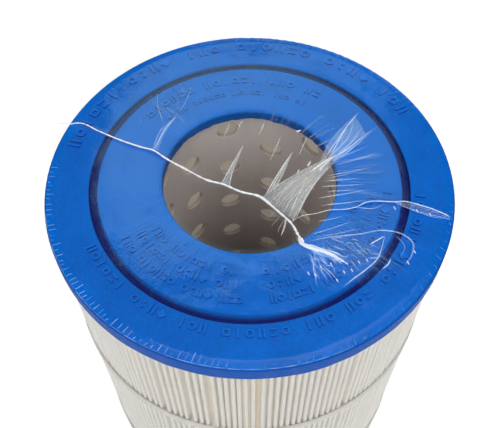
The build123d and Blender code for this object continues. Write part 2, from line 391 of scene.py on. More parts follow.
def film_material():
    """Clear shrink film: slack ripples, streaky whitening where it has gathered, and a faint milkiness."""
    n = Nodes("shrink_film")
    where = n.add("TexCoord").outputs["Object"]
    flat = n.add("VectorMath", {"operation": "MULTIPLY"}, i0=where, i1=(1, 1, 0))
    heading = n.add("VectorMath", {"operation": "NORMALIZE"}, i0=flat)
    turned = n.add("Mapping", i0=heading, Scale=(34.0, 34.0, 34.0))
    far = n.math("MULTIPLY", n.radius(), 25.0)
    high = n.math("MULTIPLY", n.height(), 14.0)
    lift = n.add("CombineXYZ", Z=n.math("ADD", far, high))
    along = n.add("VectorMath", {"operation": "ADD"}, i0=turned, i1=lift)
    streaks = n.noise(along, 1.0, 4.0, 0.6)
    ripples = n.noise(n.place(), 42.0, 2.0)
    fine = n.noise(n.place(), 420.0, 3.0)
    normal = n.bump(ripples, 0.30, 0.0025)
    normal = n.bump(streaks, 0.22, 0.0005, normal)
    normal = n.bump(fine, 0.08, 0.0004, normal)
    crease = n.add("Attribute", {"attribute_name": "crease"}).outputs["Fac"]
    milk = n.add("Attribute", {"attribute_name": "milk"}).outputs["Fac"]
    lines = n.step(streaks, 0.52, 0.72)
    white = n.math("ADD", n.math("MULTIPLY", lines, crease), milk, clamp=True)
    shine = n.add("Attribute", {"attribute_name": "shine"}).outputs["Fac"]
    film = film_shader(n, normal, 0.14, 0.052, shine)
    on_top = n.step(n.height(), (TOP_FACE - 2) * MM, (TOP_FACE - 0.5) * MM)
    pale = n.mix(n.math("MULTIPLY", n.over_cap(), on_top), (0.93, 0.94, 0.97), THIN_FILM)
    frost = n.add("BsdfPrincipled", Base_Color=pale, Roughness=0.3, Normal=normal)
    return n.finish(n.add("MixShader", i0=white, i1=film, i2=frost))


def crease_material(name, tint):
    """Gathered film: many layers folded together, so whiter and glossier than the flat film, plus a painted
    glow.
    """
    n = Nodes(name)
    grain = n.noise(n.place((900.0, 900.0, 900.0)), 1.0, 4.0, 0.7)
    white = n.add("Attribute", {"attribute_name": "white"}).outputs["Fac"]
    broken = n.step(grain, 0.25, 0.75, 0.45, 1.25)
    share = n.math("MULTIPLY", white, broken, clamp=True)
    thin_share = n.math("MULTIPLY", n.step(white, 1.1, 0.5), n.over_cap())
    colour = n.mix(thin_share, tint, THIN_FILM)
    normal = n.bump(grain, 0.5, 0.0004)
    film = film_shader(n, normal, 0.12, 0.12)
    frost = n.add("BsdfPrincipled", Base_Color=colour, Roughness=0.22, Normal=normal)
    through = n.add("BsdfTranslucent", Color=colour)
    body = n.add("MixShader", i0=0.18, i1=frost, i2=through)
    # painted glow: the whitened film emits light of its own colour, more where it is thin over the cap
    lit = n.add("Emission", Color=colour, Strength=n.math("MULTIPLY_ADD", thin_share, 0.16, 0.14))
    body = n.add("AddShader", i0=body, i1=lit)
    return n.finish(n.add("MixShader", i0=share, i1=film, i2=body))


def floor_material():
    """Pale sweep that glows a little, as a lit backdrop does."""
    n = Nodes("pale_floor")
    soft = n.noise(n.place(), 3.0, 2.0)
    colour = n.ramp(soft, [(0.3, 0.86), (0.7, 0.89)])
    matt = n.add("BsdfDiffuse", Color=colour)
    far = n.step(n.radius(), 0.9, 4.0, 0.60, 0.98)
    glow = n.add("Emission", Color=(1, 1, 1, 1), Strength=far)
    return n.finish(n.add("AddShader", i0=matt, i1=glow))


# ---- film surface

# The sealed seam wanders across the top, from the left rim to a knot near the bore's right edge
SEAM = [(-88.3, 31.6), (-83.4, 31.3), (-76.3, 30.6), (-69.1, 26), (-59.1, 20.6), (-49.1, 16.3), (-42.7, 14.1)]
SEAM += [(-36.3, 9.1), (-27.7, 4.1), (-19.1, -0.9), (-12, -3), (-9.1, -4.4), (-3.4, -7.3), (4.4, -9.9)]
SEAM += [(10.9, -16.6), (17.3, -24.4), (20.1, -30.9), (22.3, -34.4)]
# A second, finer fold runs from the seam to the right rim
BRANCH = [(17.3, -23.7), (22, -20.7), (28, -19.7), (33.9, -18.2), (40, -17.9), (45, -16.7), (49.5, -14.3)]
BRANCH += [(53.8, -13.7), (61.4, -14.2), (66, -14), (72.2, -15.8), (77.9, -17.9), (84.6, -21.2)]

# Film over the top: how far it sags in the bore, its height over the cap's inner ring and near the
# rim, where the marks end, where it turns over the rim, and its clearance from the cap's wall
FILM_SAG = 2.2
FILM_SLACK = 0.75
FILM_CONTACT = 0.9
MARKS_END = 84.6
FILM_TURN_R = 88.4
FILM_TURN_LIFT = 0.2
FILM_GAP = 0.12
# Film round the pleats: rings closer than this to a band's middle are placed at BAND_REACH from it
BAND_CLEAR = 9
BAND_REACH = (3.1, 4.4, 7.5)
FILM_RING_STEP = 6.5


def near_line(x, y, points):
    """Distance in the plane from each point to a polyline."""
    best = np.full(np.shape(x), 1e9)
    for (ax, ay), (bx, by) in zip(points[:-1], points[1:]):
        dx, dy = bx - ax, by - ay
        t = np.clip(((x - ax) * dx + (y - ay) * dy) / (dx * dx + dy * dy), 0, 1)
        best = np.minimum(best, np.hypot(x - ax - t * dx, y - ay - t * dy))
    return best


def film_lift(x, y):
    """Height of the film above the top cap's face, in millimetres, inside the rim."""
    x = np.asarray(x, dtype=float)
    y = np.asarray(y, dtype=float)
    r = np.hypot(x, y)
    lift = FILM_CONTACT + FILM_SLACK * (1 - smoothstep(67, 88, r))
    inside = np.clip(1 - (r / (BORE_R - 0.5)) ** 2, 0, 1)
    lift -= FILM_SAG * inside
    ripple = smoothstep(88, 76, r)
    lift += 0.10 * ripple * wave_noise(x, y, 38, 11)
    lift += 0.25 * np.exp(-((near_line(x, y, SEAM) / 1.1) ** 2)) * ripple
    lift += 0.14 * np.exp(-((near_line(x, y, BRANCH) / 0.9) ** 2)) * ripple
    lift = np.maximum(lift, np.where(r > BORE_R, MARK_HEIGHT + 0.08, -10))
    return lift - (lift - FILM_TURN_LIFT) * smoothstep(MARKS_END, FILM_TURN_R, r)


def from_band(z):
    """Height between a level and the middle of the nearest band."""
    return min(abs(z - (b[0].z + b[1].z) / 2 / MM) for b in BANDS)


def film_profile():
    """Radius and height of the bag's rings, from the axis over the rim and down under the bottom edge."""
    rings = [(r, None) for r in np.arange(1.0, 87.1, 1.0)]
    rings += [(87.7, None), (88.25, None)]
    wall = CAP_R + FILM_GAP
    low_edge = TOP_FACE - CAP_WALL
    rings += [(88.7, TOP_FACE + 0.15), (wall - 0.05, TOP_FACE - 0.45), (wall, TOP_FACE - 1.3)]
    rings += [(wall, TOP_FACE - 3.5), (wall, TOP_FACE - 5.6), (wall, low_edge + 0.4)]
    rings += [(wall - 0.25, low_edge - 0.7), (88.0, low_edge - 2.2), (87.5, low_edge - 4.5)]
    centres = [(b[0].z + b[1].z) / 2 / MM for b in BANDS]
    levels = np.arange(low_edge - 11, CAP_WALL + 5.5, -FILM_RING_STEP)
    levels = [z for z in levels if from_band(z) > BAND_CLEAR]
    levels += [c + side * reach for c in centres for side in (-1, 1) for reach in BAND_REACH]
    for z in sorted(levels, reverse=True):
        over_band = (BAND_R - PLEAT_R) * float(smoothstep(5.5, 3.2, from_band(z)))
        rings.append((PLEAT_R + 0.14 + over_band, z))
    rings += [(87.75, CAP_WALL + 4.5), (88.15, CAP_WALL + 2.2), (wall - 0.2, CAP_WALL + 0.7)]
    rings += [(wall, CAP_WALL - 0.6), (wall, 4.0), (wall, 2.0), (wall - 0.05, 1.0)]
    rings += [(88.75, 0.35), (88.3, 0.08)]
    return rings


def build_film(material):
    """The bag as one sheet, closed over the top and open under the bottom edge."""
    turns = 480
    angle = np.linspace(0, 2 * pi, turns, endpoint=False)
    rightward = smoothstep(0.0, 0.8, np.cos(angle))
    profile = film_profile()
    verts = [(0.0, 0.0, TOP_FACE + float(film_lift(0.0, 0.0)))]
    crease = [0.0]
    milk = [0.01]
    shine = [1.0]
    for radius, z in profile:
        x, y = radius * np.cos(angle), radius * np.sin(angle)
        if z is None:
            height = TOP_FACE + film_lift(x, y)
            flow = film_crease(x, y)
            cloud = film_milk(x, y)
            in_groove = float(smoothstep(65.5, 67.5, radius) * smoothstep(71.5, 70, radius))
            # flat against the rim, and dull over the bore, where little is mirrored
            gloss = 0.12 + 0.88 * float(smoothstep(36, 41, radius)) * float(smoothstep(86.5, 83.5, radius))
            gloss = gloss * (1 - 0.30 * rightward) * (1 - in_groove * (0.15 + 0.45 * rightward))
        else:
            slack = float(smoothstep(TOP_FACE - 9, TOP_FACE - 24, z) * smoothstep(9, 24, z))
            waves = wave_noise(angle * CAP_R, np.full(turns, z * 0.45), 60, 21)
            bulge = 0.05 + 0.12 * np.clip(waves, -0.4, 1.5)
            swell = slack * smoothstep(4.0, 14.0, from_band(z)) * bulge
            x, y = (radius + swell) * np.cos(angle), (radius + swell) * np.sin(angle)
            height = np.full(turns, z)
            flow = np.full(turns, 0.02 if z > TOP_FACE - 10 else 0.06)
            cloud = np.full(turns, 0.001 if z > TOP_FACE - CAP_WALL else 0.004)
            on_wall = z > TOP_FACE - CAP_WALL - 1 or z < CAP_WALL + 1
            gloss = np.full(turns, 0.04 if on_wall else 0.5)
        verts.extend(zip(x, y, height))
        crease.extend(flow)
        milk.extend(cloud)
        shine.extend(gloss)
    faces = [(0, 1 + j, 1 + (j + 1) % turns) for j in range(turns)]
    faces += [tuple(1 + k for k in f)[::-1] for f in grid_faces(len(profile), turns, closed=True)]
    piece = add_piece("shrink_wrap_bag", verts, faces, material)
    for label, values in (("crease", crease), ("milk", milk), ("shine", shine)):
        add_values(piece, label, values)
    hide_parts("shrink_wrap")
    return piece


def between(x, y, first, last, soft=8.0):
    """1 where a point's heading in degrees lies between first and last (0 to 360), with soft ends."""
    heading = np.degrees(np.arctan2(y, x)) % 360
    return smoothstep(first - soft, first + soft, heading) * smoothstep(last + soft, last - soft, heading)


def film_crease(x, y):
    """How strongly radial streaks whiten the film at a point of the top."""
    r = np.hypot(x, y)
    front_rim = between(x, y, 190, 300) * smoothstep(83, 87, r)
    back_rim = between(x, y, 30, 105) * smoothstep(84, 88, r)
    right_fan = smoothstep(30, 38, r) * smoothstep(64, 48, r) * (x > 0)
    right_fan = right_fan * smoothstep(-28, 2, y) * smoothstep(40, 22, y)
    crumple = np.exp(-(((x - 43) / 17) ** 2) - (((y + 36) / 13) ** 2))
    left_fan = np.exp(-(((x + 37) / 9) ** 2) - (((y - 40) / 20) ** 2))
    total = 0.03 * front_rim + 0.3 * back_rim + 0.65 * right_fan + 0.55 * crumple + 0.35 * left_fan
    return np.clip(0.8 * total + 0.004, 0, 1)


def film_milk(x, y):
    """Soft whiteness of the film at a point of the top."""
    near_seam = np.exp(-((near_line(x, y, SEAM) / 1.4) ** 2))
    crumple = np.exp(-(((x - 40) / 14) ** 2) - (((y + 38) / 9) ** 2))
    return np.clip(0.001 + 0.08 * near_seam + 0.12 * crumple, 0, 1)


# ---- seam bead and gathers


def build_bead(material):
    """The sealed seam: an uneven bead of melted film standing on the bag."""
    sides = 8
    verts, white, faces = [], [], []
    for points, radius, seed in ((SEAM, 0.36, 3), (BRANCH, 0.16, 5)):
        line = smooth_curve(points, 26 * len(points))
        rng = np.random.default_rng(seed)
        knots = len(line) // 3
        lumps = rng.uniform(0.55, 1.35, knots)
        wobble = np.interp(np.linspace(0, 1, len(line)), np.linspace(0, 1, knots), lumps)
        start = len(verts)
        ends = np.minimum(np.arange(len(line)), np.arange(len(line))[::-1])
        swell = np.linspace(0.52, 1.35, len(line))
        size = radius * wobble * swell * smoothstep(-1, 8, ends)
        heading = np.gradient(line, axis=0)
        heading /= np.linalg.norm(heading, axis=1)[:, None]
        height = TOP_FACE + film_lift(line[:, 0], line[:, 1])
        for i, (x, y) in enumerate(line):
            # the main bead is thin and broken at the left, solid from past its middle
            opaque = np.interp(i / len(line), [0, 0.6], [0.9, 1.8]) if radius > 0.3 else 0.9
            across = np.array([-heading[i][1], heading[i][0]])
            for k in range(sides):
                turn = 2 * pi * k / sides
                side, up = size[i] * 1.25 * cos(turn), size[i] * sin(turn)
                verts.append((x + across[0] * side, y + across[1] * side, height[i] + 0.25 * radius + up))
                white.append(opaque)
        faces += [tuple(start + k for k in f) for f in grid_faces(len(line), sides, closed=True)]
        faces.append(tuple(start + k for k in range(sides))[::-1])
        faces.append(tuple(start + (len(line) - 1) * sides + k for k in range(sides)))
    piece = add_piece("shrink_wrap_seam", verts, faces, material)
    add_values(piece, "white", white)
    return piece


class Folds:
    """Collects tented folds of film into one mesh."""

    def __init__(self):
        self.verts, self.faces, self.white = [], [], []

    def fold(self, points, width, height, white, taper=(0.15, 0.15), lift=0.06, steps=14):
        """A narrow tent along a curve on the film, tapering at its start and end."""
        line = smooth_curve(points, steps)
        heading = np.gradient(line, axis=0)
        heading /= np.maximum(np.linalg.norm(heading, axis=1)[:, None], 1e-9)
        t = np.linspace(0, 1, steps)
        shape = np.interp(t, [0, 0.22, 0.7, 1], [taper[0], 1, 0.9, taper[1]])
        floor = TOP_FACE + film_lift(line[:, 0], line[:, 1]) + lift
        start = len(self.verts)
        for i, (x, y) in enumerate(line):
            ax, ay = -heading[i][1], heading[i][0]
            half = 0.5 * width * shape[i]
            for side, up in ((-1, 0), (-0.3, 0.75), (0.25, 1), (1, 0)):
                z = floor[i] + up * height * shape[i]
                self.verts.append((x + ax * side * half, y + ay * side * half, z))
                self.white.append(white * (0.75 if up == 0 else 1.0))
        self.faces += [tuple(start + k for k in f) for f in grid_faces(steps, 4)]

    def folds(self, *rows):
        """Several folds, each as its points, width, height and whiteness."""
        for points, width, height, white in rows:
            self.fold(points, width, height, white)

    def web(self, left, right, folds, height, white, lift=0.05, rows=26):
        """A fan of film between two curves, pleated lengthwise."""
        a, b = smooth_curve(left, rows), smooth_curve(right, rows)
        columns = folds * 4 + 1
        start = len(self.verts)
        rng = np.random.default_rng(int(abs(left[0][0] * 10)) + folds)
        crest = rng.uniform(0.3, 1.0, columns)
        glow = rng.uniform(0.35, 1.0, columns)
        for i in range(rows):
            t = i / (rows - 1)
            for j in range(columns):
                s = j / (columns - 1)
                p = a[i] * (1 - s) + b[i] * s
                up = height * crest[j] * (0.5 - 0.5 * cos(2 * pi * folds * s)) * (1 - 0.5 * t)
                z = TOP_FACE + float(film_lift(p[0], p[1])) + lift + up
                self.verts.append((p[0], p[1], z))
                edge = 0.35 if j in (0, columns - 1) else 0.0
                self.white.append(min(1.0, white * glow[j] * (0.65 + 0.5 * sin(pi * t)) + edge))
        self.faces += [tuple(start + k for k in f) for f in grid_faces(rows, columns)]

    def build(self, name, material):
        piece = add_piece(name, self.verts, self.faces, material)
        add_values(piece, "white", self.white)
        return piece


def build_gathers(material):
    """Folds where the shrinking film pulled away from its seam, placed one by one, with a painted highlight
    arc and painted glints among them.
    """
    f = Folds()
    # short tent beside the seam at the left, with two long pulls behind it
    tent_left = [(-43.4, 14.6), (-41, 21.4), (-38.9, 28.6)]
    tent_right = [(-41, 14), (-38.4, 24.3), (-33.4, 34.9)]
    f.web(tent_left, tent_right, 2, 0.5, 0.45)
    f.folds(
        ([(-42.4, 14.8), (-38.6, 26), (-33.6, 35)], 0.55, 0.5, 0.8),
        ([(-43.2, 14.8), (-41.4, 23), (-39.2, 29)], 0.45, 0.4, 0.7),
        ([(-39.0, 29.5), (-42.6, 40), (-43.5, 52)], 0.6, 0.25, 0.28),
        ([(-33.2, 35.5), (-29, 46), (-26.6, 59)], 0.7, 0.25, 0.30),
        ([(-35.5, 36), (-32.8, 46), (-31.4, 55)], 0.4, 0.2, 0.22),
        ([(-50.5, 28), (-48, 38), (-45.9, 46)], 0.5, 0.2, 0.16),
    )
    # thin spike over the bore
    f.web([(-12.4, -2.6), (-7.6, 8), (-2.9, 18.2)], [(-8.6, -4.2), (-6.4, 8), (-2.5, 18.4)], 1, 0.5, 0.28)
    f.folds(
        ([(-12.2, -2.6), (-7.6, 8), (-2.8, 18.4)], 0.32, 0.4, 1.1),
        ([(-9.2, -4), (-6.6, 7), (-2.6, 18.2)], 0.28, 0.35, 1.0),
    )
    # long spike left of the web
    f.web([(7, -8.6), (13, 3.4), (19.0, 13.9)], [(11.4, -5.6), (15, 3.6), (19.4, 13.6)], 2, 0.6, 0.30)
    f.folds(
        ([(6.8, -8.8), (13, 3.4), (19.1, 14.1)], 0.42, 0.5, 1.3),
        ([(9.0, -7.2), (14, 3.8), (18.6, 12.6)], 0.3, 0.4, 1.0),
        ([(11.2, -5.4), (14.8, 2.4), (17.4, 9.4)], 0.4, 0.4, 0.6),
    )
    # the web: wide on the seam, narrow at the bore's edge, then flared over the cap
    web_left = [(5.4, -10.2), (10.9, -4.4), (22.3, 3.6), (33, 9.4)]
    web_right = [(18.2, -23.2), (22, -15), (27.4, -5.4), (35.6, 5.2)]
    f.web(web_left, web_right, 10, 0.9, 0.52)
    f.folds(
        ([(19.0, -22.6), (24.4, -10.6), (32.0, 2.8)], 0.42, 0.6, 1.4),
        ([(16.4, -20.6), (20.6, -10.4), (24.4, -1.4)], 0.34, 0.5, 1.2),
        ([(14.6, -18.4), (18.4, -9.4), (21.4, -3.0)], 0.35, 0.4, 0.6),
        ([(11.0, -14.6), (15.4, -6), (22.0, 0.6)], 0.35, 0.4, 0.5),
        ([(26.2, 2.4), (31.4, 6.6), (36.8, 10.6)], 1.1, 0.7, 0.95),
        ([(30.0, 3.2), (33.6, 6.8), (38.0, 11.4)], 0.8, 0.6, 0.9),
    )
    flare_left = [(31.4, 8.8), (36.6, 20.6), (48.7, 34.9)]
    flare_right = [(36.0, 5.4), (45.1, 14.9), (52.6, 23.6)]
    f.web(flare_left, flare_right, 9, 0.6, 0.42)
    f.folds(
        ([(33, 9.0), (41, 22.4), (50.6, 36.4)], 0.6, 0.45, 0.75),
        ([(34, 8.6), (44.0, 20.4), (47.8, 31)], 0.6, 0.45, 0.7),
        ([(35, 8.0), (44.8, 17.4), (51.6, 27.6)], 0.6, 0.45, 0.75),
        ([(36, 7.0), (46.4, 15.6), (53.4, 22.6)], 0.5, 0.4, 0.6),
        ([(40.6, 17.4), (43.4, 24.6), (44.6, 31.4)], 0.4, 0.3, 0.5),
    )
    # soft streaks over the far half of the bore
    streaks = [((-8.9, 30.8), (-12.0, 21.9)), ((14.3, 23.0), (9.1, 9.7)), ((26.1, 22.3), (22.0, 12.0))]
    streaks += [((7.2, 32.0), (4.3, 23.6)), ((-3.0, 32.6), (-6.1, 26.0))]
    for start, end in streaks:
        middle = ((start[0] + end[0]) / 2, (start[1] + end[1]) / 2)
        f.fold([start, middle, end], 0.8, 0.1, 0.30)
    # pulls that fan out over the cap's inner ring at the right
    pulls = [
        ((36.2, 8.6), (53.1, 16.4), 0.42), ((38.0, 5.8), (56.8, 12.4), 0.50),
        ((34.0, 0.2), (53.8, 4.5), 0.48), ((32.5, -2.6), (47.6, -1.4), 0.55),
        ((34.5, -0.9), (45.6, 1.7), 0.34), ((31.0, -5.4), (49.5, -4.7), 0.50),
        ((33.4, -8.2), (44.2, -7.6), 0.36), ((29.5, -11.6), (51.8, -7.4), 0.55),
        ((30.5, -15.6), (49.6, -13.1), 0.48), ((28.4, -23.9), (38.8, -21.3), 0.32),
        ((25.8, -30.2), (42.8, -23.8), 0.46), ((28.2, -31.4), (45.8, -27.4), 0.3),
    ]
    for (ax, ay), (bx, by), white in pulls:
        f.fold([(ax, ay), ((ax + bx) / 2, (ay + by) / 2 - 0.3), (bx, by)], 0.55, 0.3, white)
    # frayed ends of the flare
    f.folds(
        ([(35.7, 10.2), (43.0, 25.2), (50.3, 36.0)], 0.5, 0.4, 1.1),
        ([(37.0, 9.1), (45.0, 15.9), (54.9, 25.2)], 0.5, 0.4, 1.1),
        ([(39.1, 7.9), (47.8, 17.0), (57.8, 27.5)], 0.4, 0.3, 0.7),
        ([(36.4, 11.6), (39.8, 18.8), (41.6, 24.4)], 0.4, 0.3, 0.7),
    )
    # loose strip under the branch fold, out to the rim
    strip_left = [(61.4, -14.2), (72.2, -15.8), (84.0, -20.9)]
    strip_right = [(62.4, -15.2), (71.6, -19.6), (83.8, -22.4)]
    f.web(strip_left, strip_right, 2, 0.3, 0.10)
    f.folds(
        ([(62.6, -15.4), (71.6, -19.6), (77.2, -21.6), (83.8, -22.4)], 0.22, 0.2, 0.5),
        ([(44.6, -16.8), (52, -17.4), (57.6, -14.9)], 0.35, 0.3, 0.6),
    )
    # knot where the seam meets the bore's right edge, and its ragged tail
    tail = [(20.1, -31), (21.0, -34.5), (26.2, -37.4), (31.8, -39.3), (35.7, -41.7), (39.5, -44.5)]
    f.fold(tail, 1.7, 0.8, 1.3, steps=26)
    f.folds(
        ([(22.4, -34.8), (27.4, -36.6), (33.2, -40.2), (36.8, -44.2)], 1.0, 0.7, 0.95),
        ([(25.0, -36.2), (31.0, -37.8), (35.4, -39.4), (37.6, -41.0)], 0.9, 0.5, 0.8),
    )
    rng = np.random.default_rng(23)
    for _ in range(46):
        # short creases that spray from the knot over the slack film in front of it
        heading = radians(rng.uniform(-88, -22))
        start = rng.uniform(2, 13)
        length = rng.uniform(3, 9)
        x = 22.5 + start * cos(heading)
        y = -35.5 + start * sin(heading)
        turn = heading + rng.normal(0, 0.25)
        bend = rng.normal(0, 0.9)
        dx, dy = cos(turn), sin(turn)
        middle = (x + 0.5 * length * dx - bend * dy, y + 0.5 * length * dy + bend * dx)
        end = (x + length * dx, y + length * dy)
        f.fold([(x, y), middle, end], rng.uniform(0.22, 0.5), 0.35, rng.uniform(0.25, 0.8), steps=9)
    for _ in range(30):
        # crumple between the knot and the slack fold to its right
        x, y = rng.uniform(29, 52), rng.uniform(-43, -32)
        heading, length = rng.normal(-0.5, 0.55), rng.uniform(2.5, 6)
        dx, dy = length * cos(heading), length * sin(heading)
        bend = rng.normal(0, 0.8)
        points = [(x, y), (x + dx / 2 + bend, y + dy / 2 - bend), (x + dx, y + dy)]
        f.fold(points, rng.uniform(0.3, 0.7), 0.35, rng.uniform(0.2, 0.6), steps=9)
    # slack fold that runs out over the groove, and in front of it an arc whitened as a painted highlight
    slack = [(24.8, -33.5), (33.1, -31.6), (45.6, -30.2), (53.2, -28.5)]
    slack += [(59.7, -29.0), (65.2, -31.8), (67.6, -36.6)]
    f.fold(slack, 0.75, 0.5, 0.42, steps=34)
    f.folds(
        ([(63.0, -30.4), (66.8, -34.2), (65.6, -40.2), (62.4, -44.5)], 0.8, 0.4, 0.55),
        ([(60.4, -31.2), (63.2, -36.0), (61.0, -41.0)], 0.5, 0.3, 0.4),
        ([(49.2, -35.1), (52.0, -33.4), (55.4, -31.2)], 0.6, 0.4, 1.1),
    )
    # painted highlight: this arc and the short fold after it are made fully white
    arc = [(55.6, -31.4), (51.9, -41.3), (46.6, -46.8), (41.4, -50.9), (37.2, -54.5)]
    f.fold(arc, 0.5, 0.5, 1.0, steps=30)
    f.fold([(56.9, -42.0), (55.6, -44.4), (53.0, -46.8)], 0.6, 0.4, 1.0)
    # painted glints: tiny folds made fully white, standing in for highlights on the crumpled film
    glints = [(32.7, -44.4), (28.6, -45.8), (34.6, -51.8), (44.0, -43.6), (47.3, -42.6)]
    glints += [(67.0, -38.5), (26.0, -49.5), (23.4, -48.6), (63.7, -43.6), (40.8, -47.2)]
    glints += [(37.6, -48.0), (61.2, -17.2), (70.4, -18.6), (75.8, -20.2)]
    for x, y in glints:
        f.fold([(x - 0.3, y + 0.8), (x, y), (x + 0.4, y - 0.9)], 0.5, 0.4, 1.5, steps=6)
    # spur hanging from the seam over the bore
    f.folds(
        ([(15.2, -21), (14.6, -25.6), (13.0, -30.6)], 0.9, 0.5, 0.7),
        ([(14.8, -22), (12.4, -26.4), (11.6, -29.4)], 0.35, 0.3, 0.45),
        ([(13.2, -18.8), (11.4, -22.4), (9.0, -25.4)], 0.35, 0.3, 0.3),
        ([(11.0, -16.6), (9.4, -19.4), (7.0, -21.6)], 0.3, 0.25, 0.25),
    )
    # painted glints over the bore and on its far edge, as tiny white folds
    for points, width, height, white in (
        ([(21.2, 25.2), (23.6, 26.0)], 0.9, 0.5, 1.0),
        ([(21.0, 2.4), (21.9, 4.6)], 0.8, 0.4, 0.95),
        ([(25.6, 6.2), (27.2, 8.8)], 1.0, 0.5, 0.95),
        ([(31.0, 2.8), (31.8, 5.8)], 0.9, 0.5, 0.95),
    ):
        f.fold(points, width, height, white, steps=6)
    return f.build("shrink_wrap_gathers", material)


# Radius where the rim's puckers end, and of the painted highlight line where the film turns over
PUCKER_R = 87.9
RIM_PAINTED_HIGHLIGHT_R = 88.35


def build_rim_strokes(material):
    """Fine puckers where the film turns over the top rim, closer at the front, and a painted highlight line
    along the front rim.
    """
    f = Folds()
    rng = np.random.default_rng(17)
    # first and last heading in degrees, spacing, whiteness and length
    spans = [(176, 262, 1.7, 1.1, 3.0), (262, 300, 2.2, 0.7, 1.8), (28, 104, 1.7, 0.7, 2.4)]
    spans.append((300, 352, 2.6, 0.5, 2.0))
    for first, last, step, white, length in spans:
        heading = first
        while heading < last:
            reach = length * rng.uniform(0.35, 1.3)
            inner = PUCKER_R - reach
            skew = radians(0.45 + rng.uniform(-0.12, 0.12))
            a = radians(heading)
            p = (inner * cos(a + skew), inner * sin(a + skew))
            q = (PUCKER_R * cos(a), PUCKER_R * sin(a))
            f.fold([p, q], 0.15, 0.08, white * rng.uniform(0.5, 1.3), taper=(0.1, 1.0), lift=0.02, steps=5)
            heading += step * rng.uniform(0.75, 1.25)
    heading = 192.0
    while heading < 296:
        # broken painted highlight line, as whitened folds where the film turns over the rim at the front
        span = rng.uniform(2.5, 6.5)
        arc = [radians(heading + span * share) for share in (0.0, 0.5, 1.0)]
        points = [(RIM_PAINTED_HIGHLIGHT_R * cos(a), RIM_PAINTED_HIGHLIGHT_R * sin(a)) for a in arc]
        f.fold(points, 0.20, 0.10, rng.uniform(0.3, 0.95), taper=(0.4, 0.4), lift=0.03, steps=7)
        heading += span + rng.uniform(0.0, 0.8)
    return f.build("shrink_wrap_rim_puckers", material)


# ---- pleats

# Number of pleats, the sheet's thickness, and its middle line's radius at the tips and the roots
PLEATS = 184
SHEET = 0.5
TIP_FOLD = 0.70
ROOT_FOLD = 0.34
TIP_POINTS = 7
ROOT_POINTS = 5
# Headings in degrees where two pleats stand further apart
WIDE_GAPS = [246.2, 255.2, 260.0, 274.0, 209.0, 224.0, 301.0, 318.5]
WIDE_GAPS += [12.0, 31.5, 58.0, 77.0, 118.0, 141.0, 163.0]


def pleat_angles(rng):
    """Heading of each pleat's tip, unevenly spread, and of the roots between them, more evenly spread."""
    spacing = rng.normal(1.0, 0.055, PLEATS)
    regular = np.arange(PLEATS) * 360.0 / PLEATS
    for gap in WIDE_GAPS:
        spacing[int(round(gap / 360 * PLEATS)) % PLEATS] += 0.5
    tips = np.cumsum(spacing)
    tips = np.radians((tips - tips[0]) * 360 / tips[-1] * (PLEATS - 1) / PLEATS)
    drift = tips - np.radians(regular)
    wide = np.concatenate([drift[-8:], drift, drift[:8]])
    smooth = np.convolve(wide, np.ones(9) / 9, mode="same")[8:-8]
    roots = np.radians(regular) + smooth + radians(180.0 / PLEATS)
    return tips, roots


def fold_ring(tips, roots, tip_radius, side):
    """One face of the folded sheet at one height, as points in order; side is +1 outside, -1 inside."""
    outer, inner = TIP_FOLD + side * SHEET / 2, ROOT_FOLD - side * SHEET / 2
    tip_r = tip_radius - TIP_FOLD - SHEET / 2
    root_r = CORE_R + 0.3 + ROOT_FOLD + SHEET / 2
    c = np.stack([tip_r * np.cos(tips), tip_r * np.sin(tips)], 1)
    d = np.stack([root_r * np.cos(roots), root_r * np.sin(roots)], 1)
    points = []
    for k in range(PLEATS):
        ends = []
        for turn, root in ((-1, d[k - 1]), (1, d[k])):
            along = root - c[k]
            length = np.hypot(*along)
            along = along / length
            across = np.array([-along[1], along[0]]) * -turn
            lean = (outer + inner) / length
            ends.append(along * lean + across * sqrt(1 - lean * lean))
        start, stop = atan2(ends[0][1], ends[0][0]), atan2(ends[1][1], ends[1][0])
        sweep = (stop - start) % (2 * pi)
        for u in np.linspace(0, 1, TIP_POINTS):
            a = start + sweep * u
            points.append((c[k][0] + outer * cos(a), c[k][1] + outer * sin(a)))
        after = c[(k + 1) % PLEATS] - d[k]
        length = np.hypot(*after)
        after = after / length
        across = np.array([-after[1], after[0]])
        lean = (outer + inner) / length
        first = -ends[1]
        last = after * lean - across * sqrt(1 - lean * lean)
        start, stop = atan2(first[1], first[0]), atan2(last[1], last[0])
        sweep = (start - stop) % (2 * pi)
        for u in np.linspace(0, 1, ROOT_POINTS):
            a = start - sweep * u
            points.append((d[k][0] + inner * cos(a), d[k][1] + inner * sin(a)))
    return points


